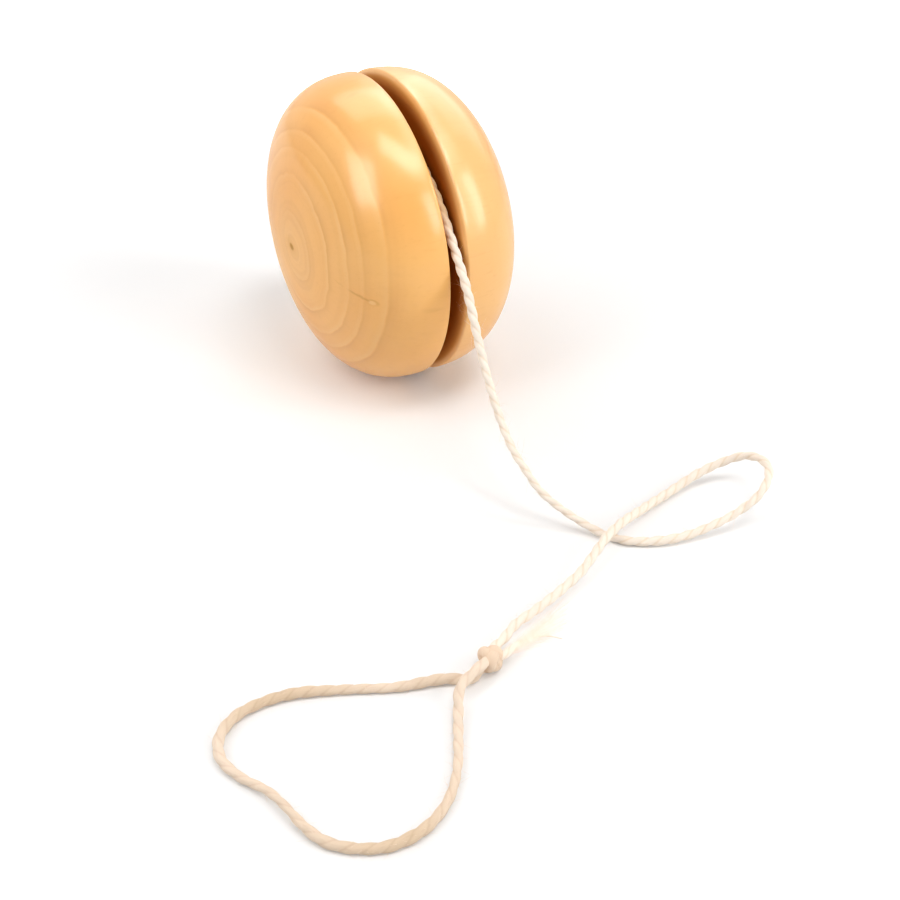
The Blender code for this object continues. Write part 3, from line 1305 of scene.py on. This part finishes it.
@dataclass
class FingerString:
    """The cotton string: wound on the axle, led over the floor and knotted into a finger loop."""

    HANDLED: ClassVar[dict[str, Any]] = {
        # How much painted shade the ply grooves get.
        "groove_shade_share": 0.5,
        "light": linear(240, 219, 197),
        "shade": linear(221, 187, 160),
        "fleck": linear(204, 164, 132),
    }
    KNOTTED: ClassVar[dict[str, Colour]] = {
        "light": linear(238, 211, 184),
        "shade": linear(210, 170, 138),
    }
    FLUFFED: ClassVar[dict[str, Colour]] = {
        "light": linear(240, 200, 165),
        "shade": linear(225, 175, 135),
    }
    FRAYED: ClassVar[dict[str, Colour]] = {
        "light": linear(252, 239, 228),
        "shade": linear(248, 227, 212),
    }

    axle_height: float
    twist: Twist = field(default_factory=Twist)
    worn_twist: Twist = field(default_factory=lambda: Twist(ply_share=0.83))
    first_turn: float = 0.00515
    first_turn_ease: float = 0.0005
    turn_pitch: float = 0.00215
    turns: int = 7
    joint_gap: float = 0.0003
    winding_step: float = 0.00042
    lead_step: float = 0.00024
    curve_steps: int = 40
    knot_centre: Spot = (0.0800, -0.0250, 0.00195)
    knot_heading: float = math.radians(-71.0)
    knot_length: float = 0.0036
    strand_clearance: float = 0.0003
    strand_tilt: float = math.radians(70.0)
    strand_depth: float = 0.12
    strand_draw: float = 0.45
    tie_reach: float = 0.00088
    tie_rise: float = 0.00084
    tie_share: float = 1.28
    tie_points: int = 260
    tie_start: float = math.pi / 6
    lift_off: Stations = ((66.0, 0.0007), (55.0, 0.0012), (43.0, 0.0020))
    lead_route: tuple[Spot, ...] = (
        (0.0196, 0.0000, 0.0407),
        (0.0222, 0.0000, 0.0380),
        (0.0246, 0.0000, 0.0351),
        (0.0269, -0.0001, 0.0326),
        (0.0304, -0.0004, 0.0289),
        (0.0356, -0.0012, 0.0224),
        (0.0405, -0.0021, 0.0177),
        (0.0458, -0.0028, 0.0132),
        (0.0503, -0.0031, 0.0102),
        (0.0536, -0.0027, 0.0082),
        (0.0570, -0.0020, 0.0061),
        (0.0600, -0.0001, 0.0040),
        (0.0625, 0.0021, 0.0022),
        (0.0652, 0.0042, 0.0011),
        (0.0673, 0.0057, 0.0009),
        (0.0692, 0.0075, 0.0009),
        (0.0714, 0.0114, 0.0010),
        (0.0729, 0.0161, 0.0014),
        (0.0739, 0.0211, 0.0026),
        (0.0743, 0.0246, 0.0038),
        (0.0745, 0.0276, 0.0055),
        (0.0734, 0.0304, 0.0069),
        (0.0711, 0.0326, 0.0073),
        (0.0683, 0.0333, 0.0069),
        (0.0656, 0.0327, 0.0058),
        (0.0635, 0.0302, 0.0040),
        (0.0625, 0.0265, 0.0025),
        (0.0629, 0.0201, 0.0013),
        (0.0650, 0.0122, 0.0020),
        (0.0670, 0.0066, 0.0031),
        (0.0687, 0.0027, 0.0033),
        (0.0707, -0.0012, 0.0029),
        (0.0724, -0.0048, 0.0024),
        (0.0739, -0.0095, 0.0021),
        (0.0754, -0.0151, 0.0020),
        (0.0762, -0.0185, 0.0020),
    )
    loop_route: tuple[Spot, ...] = (
        (0.0792, -0.0318, 0.0010),
        (0.0773, -0.0377, 0.0009),
        (0.0738, -0.0450, 0.0009),
        (0.0714, -0.0508, 0.0009),
        (0.0707, -0.0553, 0.0009),
        (0.0712, -0.0590, 0.0009),
        (0.0733, -0.0619, 0.0009),
        (0.0764, -0.0629, 0.0009),
        (0.0801, -0.0618, 0.0009),
        (0.0841, -0.0595, 0.0012),
        (0.0872, -0.0585, 0.0014),
        (0.0908, -0.0575, 0.0011),
        (0.0938, -0.0561, 0.0009),
        (0.0963, -0.0534, 0.0009),
        (0.0981, -0.0496, 0.0009),
        (0.0981, -0.0450, 0.0009),
        (0.0960, -0.0406, 0.0009),
        (0.0925, -0.0373, 0.0009),
        (0.0885, -0.0349, 0.0009),
        (0.0853, -0.0331, 0.0011),
        (0.0827, -0.0313, 0.0024),
    )
    tail_route: tuple[Spot, ...] = (
        (0.0790, -0.0168, 0.0012),
        (0.0798, -0.0149, 0.0010),
        (0.0810, -0.0136, 0.0009),
    )
    lead_thickness: Stations = (
        (0.00, 1.00), (0.20, 0.95), (0.27, 0.88), (0.33, 0.80), (0.40, 0.74), (0.44, 0.80),
        (0.50, 0.92), (0.55, 0.83), (0.61, 0.83), (0.66, 0.88), (0.71, 0.95), (0.78, 0.93),
        (0.87, 0.88), (1.00, 0.86),
    )
    loop_thickness: Stations = (
        (0.00, 0.95), (0.10, 0.93), (0.15, 0.79), (0.21, 0.82), (0.26, 0.96), (0.31, 0.88),
        (0.40, 0.93), (0.43, 0.84), (0.48, 0.71), (0.54, 0.66), (0.60, 0.88), (0.65, 0.82),
        (0.71, 0.93), (0.76, 0.82), (0.82, 0.74), (0.88, 0.85), (1.00, 0.94),
    )
    # Darkness along the finger loop: painted shade on stretches that face away from the light, with some
    # finger grime.
    loop_shade_and_grime: Stations = (
        (0.00, 0.30), (0.10, 0.50), (0.15, 0.15), (0.21, 0.60), (0.28, 1.00), (0.32, 0.95),
        (0.36, 0.60), (0.40, 0.05), (0.46, 0.10), (0.54, 0.30), (0.60, 0.40), (0.65, 0.85),
        (0.71, 1.00), (0.76, 0.50), (0.82, 0.20), (0.88, 0.00),
    )
    tail_thickness: Stations = (
        (0.0, 0.90), (0.2, 0.66), (0.4, 0.42), (0.6, 0.26), (0.8, 0.16), (1.0, 0.08),
    )
    rest_height: float = 0.0009
    gap_mouth: float = 0.0252

    def smooth(self, route: list[Any], step: float) -> np.ndarray:
        """Return evenly spaced points on a smooth curve through a route.

        Args:
            route: The points to pass through.
            step: How far apart the returned points are, about.

        Returns:
            The points, one row each.
        """
        places = np.array(route, float)
        chords = np.linalg.norm(np.diff(places, axis=0), axis=1)
        knots = np.concatenate([[0.0], np.cumsum(np.sqrt(chords))])
        slopes = np.gradient(places, knots, axis=0)
        share = np.linspace(0.0, 1.0, self.curve_steps + 1)[1:, None]
        start = 2 * share**3 - 3 * share**2 + 1
        leave = share**3 - 2 * share**2 + share
        arrive = share**3 - share**2
        dense = [places[:1]]
        for index, span in enumerate(np.diff(knots)):
            turn = span * (leave * slopes[index] + arrive * slopes[index + 1])
            dense.append(start * places[index] + (1 - start) * places[index + 1] + turn)
        track = np.concatenate(dense)
        along = lengths_along(track)
        stops = np.linspace(0.0, along[-1], round(along[-1] / step) + 1)
        return np.stack([np.interp(stops, along, track[:, axis]) for axis in range(3)], axis=1)

    def round_axle(self, angle: float, distance: float) -> np.ndarray:
        """Return a point in the middle of the gap, at an angle up from +X."""
        up = self.axle_height + distance * math.sin(angle)
        return np.array([distance * math.cos(angle), 0.0, up])

    def knot_axes(self) -> tuple[np.ndarray, np.ndarray]:
        """Return the directions along the knot, towards the loop, and across it."""
        along = np.array([math.cos(self.knot_heading), math.sin(self.knot_heading), 0.0])
        return along, np.array([-along[1], along[0], 0.0])

    @property
    def strand_offset(self) -> float:
        """How far a strand is off the knot's middle."""
        return (self.twist.diameter + self.strand_clearance) / 2

    def strand(self, end: float, offset: np.ndarray) -> list[np.ndarray]:
        """Return a strand's first points, from inside the knot out through one end.

        Args:
            end: 1 for the loop's end and -1 for the lead's.
            offset: How far off the knot's middle the strand leaves.

        Returns:
            A point in the knot, one at its end and one a diameter beyond.
        """
        along = self.knot_axes()[0] * end
        centre = np.array(self.knot_centre)
        face = centre + along * (self.knot_length / 2 + self.joint_gap) + offset
        inside = centre + along * self.knot_length * self.strand_depth + offset * self.strand_draw
        return [inside, face, face + along * self.twist.diameter]

    def winding(self) -> np.ndarray:
        """Lay the wound part of the string, from the axle out to the top of the gap.

        Returns:
            Evenly spaced points down its middle.
        """
        length = math.pi * self.turns * (2 * self.first_turn + self.turn_pitch * self.turns)
        count = round(length / self.winding_step)
        share = np.linspace(0.0, 1.0, count)
        span = self.turn_pitch * self.turns + self.first_turn_ease
        mean = self.first_turn + span / 2
        reached = np.sqrt(self.first_turn**2 + 2 * span * mean * share)
        turned = self.turns * (reached - self.first_turn) / span
        spiral = []
        for turn in turned:
            angle = math.pi / 2 + math.tau * (self.turns - turn)
            ease = self.first_turn_ease * min(turn, 1.0)
            spiral.append(self.round_axle(angle, self.first_turn + self.turn_pitch * turn + ease))
        return np.array(spiral)

    def lead(self) -> np.ndarray:
        """Lay the free string, from the top of the gap to the knot.

        Returns:
            Evenly spaced points down its middle.
        """
        outer = self.first_turn + self.first_turn_ease + self.turn_pitch * self.turns
        top = self.round_axle(math.pi / 2, outer)
        ahead = AHEAD * self.twist.diameter
        start = top + ahead + AHEAD * self.joint_gap
        lift = [self.round_axle(math.radians(angle), outer + rise) for angle, rise in self.lift_off]
        side = self.knot_axes()[1]
        arrival = self.strand(-1.0, -self.strand_offset * side)[::-1]
        return self.smooth([start, start + ahead, *lift, *self.lead_route, *arrival], self.lead_step)

    def loop(self) -> np.ndarray:
        """Lay the finger loop, from the knot round the floor and back to it.

        Returns:
            Evenly spaced points down its middle.
        """
        side = self.knot_axes()[1]
        apart = math.cos(self.strand_tilt) * side + math.sin(self.strand_tilt) * UP
        lower = self.strand(1.0, -self.strand_offset * apart)
        upper = self.strand(1.0, self.strand_offset * apart)[::-1]
        return self.smooth([*lower, *self.loop_route, *upper], self.lead_step)

    def tail(self) -> np.ndarray:
        """Return the cut end that stands out of the knot beside the lead."""
        start = self.strand(-1.0, self.strand_offset * self.knot_axes()[1])
        return self.smooth([*start, *self.tail_route], self.lead_step)

    def tie(self) -> np.ndarray:
        """Lay the overhand knot, drawn tight, from its underside round and back to it.

        Returns:
            Points down its middle.
        """
        along, side = self.knot_axes()
        centre = np.array(self.knot_centre)
        points = []
        for turn in self.tie_start + np.linspace(0.0, math.tau, self.tie_points):
            run = self.tie_reach * (math.sin(turn) + 2 * math.sin(2 * turn)) / 3
            out = self.tie_reach * (math.cos(turn) - 2 * math.cos(2 * turn)) / 3
            rise = -self.tie_rise * math.sin(3 * turn)
            points.append(centre + run * along + out * side + rise * UP)
        return np.array(points)

    @staticmethod
    def thickness_along(route: np.ndarray, stations: Stations) -> np.ndarray:
        """Return the thickness at each point of a route.

        Args:
            route: Points down the middle of the string.
            stations: Pairs of (share of the way, share of the full diameter).

        Returns:
            The share of the full diameter at each point.
        """
        places, shares = zip(*stations)
        return np.interp(np.linspace(0.0, 1.0, len(route)), places, shares)

    def settle(self, route: np.ndarray, thickness: np.ndarray) -> np.ndarray:
        """Return a route let down to the floor where the string is thin.

        Args:
            route: Points down the middle of a string of the full diameter.
            thickness: The share of the full diameter at each point.

        Returns:
            The points, lower where they lie on the floor and as they were where they are off it.
        """
        lying = 1 - np.clip(route[:, 2] / self.rest_height - 1, 0.0, 1.0)
        settled = route.copy()
        settled[:, 2] -= lying * (1 - thickness) * self.twist.diameter / 2
        return settled

    def dress(self) -> None:
        winding, lead, loop, tail = self.winding(), self.lead(), self.loop(), self.tail()
        drawn = self.thickness_along(lead, self.lead_thickness)
        looped = self.thickness_along(loop, self.loop_thickness)
        thinning = self.thickness_along(tail, self.tail_thickness)
        lead, loop = self.settle(lead, drawn), self.settle(loop, looped)
        run = np.concatenate([winding, lead])
        wound = np.concatenate([np.ones(len(winding)), drawn])
        outside = lead[:, 0] > self.gap_mouth
        cotton = TwistedCotton(self.twist.lay_map)
        rubbed_and_shaded = replace(cotton, soil_and_shade_end=length_of(np.concatenate([winding, lead[~outside]])))
        handled = replace(cotton, **self.HANDLED)
        knotted = replace(handled, **self.KNOTTED)
        fingered_and_shaded = replace(handled, shade_and_grime=self.loop_shade_and_grime, shade_and_grime_length=length_of(loop))
        loose = LooseCotton().material("loose_cotton")
        fluffed = LooseCotton(**self.FLUFFED).material("fluff_cotton")
        frayed = LooseCotton(**self.FRAYED).material("frayed_cotton")
        strands = {
            "string_run": (run, self.twist, wound, rubbed_and_shaded, ("string_lead", "string_winding")),
            "finger_loop_strand": (loop, self.worn_twist, looped, fingered_and_shaded, ("finger_loop",)),
            "finger_knot_wraps": (self.tie(), self.worn_twist, self.tie_share, knotted, ("finger_knot",)),
            "string_tail_end": (tail, self.worn_twist, thinning, cotton, ("string_tail",)),
        }
        made = {}
        for name, (route, twist, thickness, finish, nodes) in strands.items():
            mesh = twist.sweep(name, route, thickness)
            made[name] = add_piece(name, mesh, finish.material(f"{name}_cotton"))
            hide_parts(*nodes)
        fibres = LooseFibres(self.twist.diameter)
        made["string_fuzz"] = fibres.fuzz([lead[outside], loop], loose)
        made["gap_fluff"] = fibres.gap_fluff(lead, fluffed)
        made["tail_fray"] = fibres.fray(tail, lead, frayed)
        made["tail_fray"].visible_shadow = False
        for piece in made.values():
            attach(piece, Body.STRING.value)
            report(piece)


@dataclass(frozen=True)
class Softbox:
    """A square lamp that looks at the middle of the yo-yo from a direction."""

    name: str
    direction: Spot
    distance: float
    width: float
    height: float
    power: float
    role: Role = Role.SOFTBOX
    roll: float = 0.0

    def hang(self, target: Vector) -> None:
        """Add the lamp to the scene.

        Args:
            target: The point that it is aimed at.
        """
        data = bpy.data.lights.new(self.name, "AREA")
        data.shape = "RECTANGLE"
        data.size = self.width
        data.size_y = self.height
        data.energy = self.power
        lamp = bpy.data.objects.new(self.name, data)
        towards = Vector(self.direction).normalized()
        lamp.location = target + towards * self.distance
        aim = (-towards).to_track_quat("-Z", "Y")
        lamp.rotation_euler = (aim @ Quaternion((0.0, 0.0, 1.0), math.radians(self.roll))).to_euler()
        lamp.visible_camera = False
        lamp.visible_glossy = self.role is not Role.FILL
        lamp.visible_diffuse = self.role is not Role.CARD
        bpy.context.scene.collection.objects.link(lamp)


@dataclass
class Studio:
    """A pale floor, soft lamps all round and the camera."""

    target: Spot = (0.010, 0.0, 0.027)
    lamps: tuple[Softbox, ...] = (
        Softbox("front_strip", (0.80, 0.35, 0.47), 0.60, 0.10, 0.28, 0.60),
        Softbox("back_softbox", (-0.60, 0.55, 0.55), 0.70, 0.50, 0.40, 0.5),
        Softbox("left_fill", (0.12, -0.80, 0.55), 0.60, 0.20, 0.29, 0.72, Role.FILL),
        Softbox("right_fill", (0.56, 0.62, 0.43), 0.60, 0.08, 0.34, 0.85, Role.FILL),
        Softbox("top_fill", (0.35, 0.10, 0.93), 0.60, 0.26, 0.16, 1.0, Role.FILL),
        Softbox("high_fill", (0.05, -0.45, 0.89), 0.70, 0.30, 0.30, 0.85, Role.FILL),
        Softbox("overhead_fill", (0.02, 0.35, 0.93), 0.70, 0.60, 0.20, 0.45, Role.FILL),
        Softbox("side_fill", (-0.60, -0.72, 0.50), 0.70, 0.45, 0.35, 1.05, Role.FILL),
        Softbox("back_fill", (-0.85, -0.05, 0.50), 0.70, 0.50, 0.36, 1.1, Role.FILL),
        Softbox("low_fill", (0.75, 0.50, 0.12), 0.60, 0.30, 0.10, 0.45, Role.FILL),
        Softbox("left_card", (0.115, -0.777, 0.618), 0.60, 0.34, 0.34, 1.65, Role.CARD, 30.0),
        Softbox("right_card", (0.623, 0.665, 0.41), 0.60, 0.15, 0.36, 0.88, Role.CARD, -10.0),
        Softbox("top_card", (0.256, 0.080, 0.961), 0.60, 0.42, 0.18, 1.43, Role.CARD, -60.0),
        Softbox("lip_card", (0.215, 0.535, 0.817), 0.60, 0.26, 0.06, 0.12, Role.CARD, 25.0),
        Softbox("overhead_card", (0.02, 0.42, 0.90), 0.70, 0.95, 0.14, 1.35, Role.CARD),
        Softbox("far_card", (-0.45, 0.68, 0.55), 0.70, 0.60, 0.50, 1.35, Role.CARD),
        Softbox("near_card", (-0.55, 0.10, 0.80), 0.70, 0.50, 0.40, 1.5, Role.CARD),
    )
    ambient: float = 0.16
    floor_width: float = 6.0
    floor_level: float = -0.00006
    floor_colour: Colour = (0.76, 0.76, 0.76, 1.0)
    seen_floor: Colour = (0.90, 0.90, 0.90, 1.0)
    floor_lift: float = 0.05
    floor_centre: Span = (0.035, -0.010)
    shadow_reach: float = 0.12
    white_reach: float = 0.26
    far_lift: float = 1.0
    gloss_lift: float = 0.15
    camera_spot: Spot = (0.16373, -0.07828, 0.11465)
    camera_tilt: float = math.radians(52.42)
    camera_heading: float = math.radians(60.74)
    focal_pixels: float = 1066.13
    frame_pixels: float = 900.0
    sensor: float = 36.0
    near_clip: float = 0.005

    @staticmethod
    def rays(bench: Bench, kind: str) -> Wire:
        """Return 1 for rays of one kind and 0 for all others."""
        return bench.add("ShaderNodeLightPath", output=f"Is {kind} Ray")

    def seen(self, bench: Bench) -> Wire:
        """Return 1 for rays of the camera, gloss and glass, and 0 for all others."""
        camera, gloss, glass = [self.rays(bench, kind) for kind in ("Camera", "Glossy", "Transmission")]
        return camera.at_least(gloss).at_least(glass)

    def lay_floor(self) -> None:
        """Add the floor, which shows pale and keeps the yo-yo's shadow."""
        shape = bmesh.new()
        bmesh.ops.create_grid(shape, x_segments=1, y_segments=1, size=self.floor_width / 2)
        bmesh.ops.translate(shape, verts=shape.verts, vec=(0.0, 0.0, self.floor_level))
        mesh = bpy.data.meshes.new("floor")
        shape.to_mesh(mesh)
        shape.free()
        bench = Bench.for_material("floor_paper")
        seen = self.seen(bench)
        x, y, _ = bench.place()
        away_x, away_y = x - self.floor_centre[0], y - self.floor_centre[1]
        away = (away_x * away_x + away_y * away_y) ** 0.5
        camera = self.rays(bench, "Camera")
        far_lift = self.gloss_lift + (self.far_lift - self.gloss_lift) * camera
        lift = self.floor_lift + far_lift * away.rise(self.shadow_reach, self.white_reach)
        colour = bench.mix(seen, self.floor_colour, self.seen_floor)
        paper = bench.add("ShaderNodeBsdfDiffuse", None, {"Color": colour})
        glow = bench.add("ShaderNodeEmission", None, {"Strength": seen * lift})
        both = bench.add("ShaderNodeAddShader", None, {0: paper, 1: glow})
        add_piece("floor", mesh, bench.show(both))

    def light(self) -> None:
        """Add the lamps and the even light of the room."""
        for lamp in self.lamps:
            lamp.hang(Vector(self.target))
        world = bpy.data.worlds.new("studio")
        bpy.context.scene.world = world
        bench = Bench(world)
        level = self.ambient + self.seen(bench) * (1.0 - self.ambient)
        bench.show(bench.add("ShaderNodeBackground", None, {"Color": WHITE, "Strength": level}))

    def point_camera(self) -> None:
        """Add the camera and make it the scene's."""
        data = bpy.data.cameras.new("camera")
        data.sensor_width = self.sensor
        data.lens = self.focal_pixels * self.sensor / self.frame_pixels
        data.clip_start = self.near_clip
        camera = bpy.data.objects.new("camera", data)
        camera.location = self.camera_spot
        camera.rotation_euler = (self.camera_tilt, 0.0, self.camera_heading)
        bpy.context.scene.collection.objects.link(camera)
        bpy.context.scene.camera = camera

    def set_up(self) -> None:
        """Lay the floor, hang the lamps and point the camera."""
        bpy.context.scene.view_settings.view_transform = "Standard"
        self.lay_floor()
        self.light()
        self.point_camera()


def main() -> None:
    """Set up the studio, then build the string and the spool."""
    logging.basicConfig(level=logging.INFO, format="%(name)s: %(message)s")
    axle_height = float(frame["joints"][0]["pos_m"][2])
    Studio().set_up()
    FingerString(axle_height).dress()
    Spool(axle_height).dress()


if __name__ == "__main__":
    main()
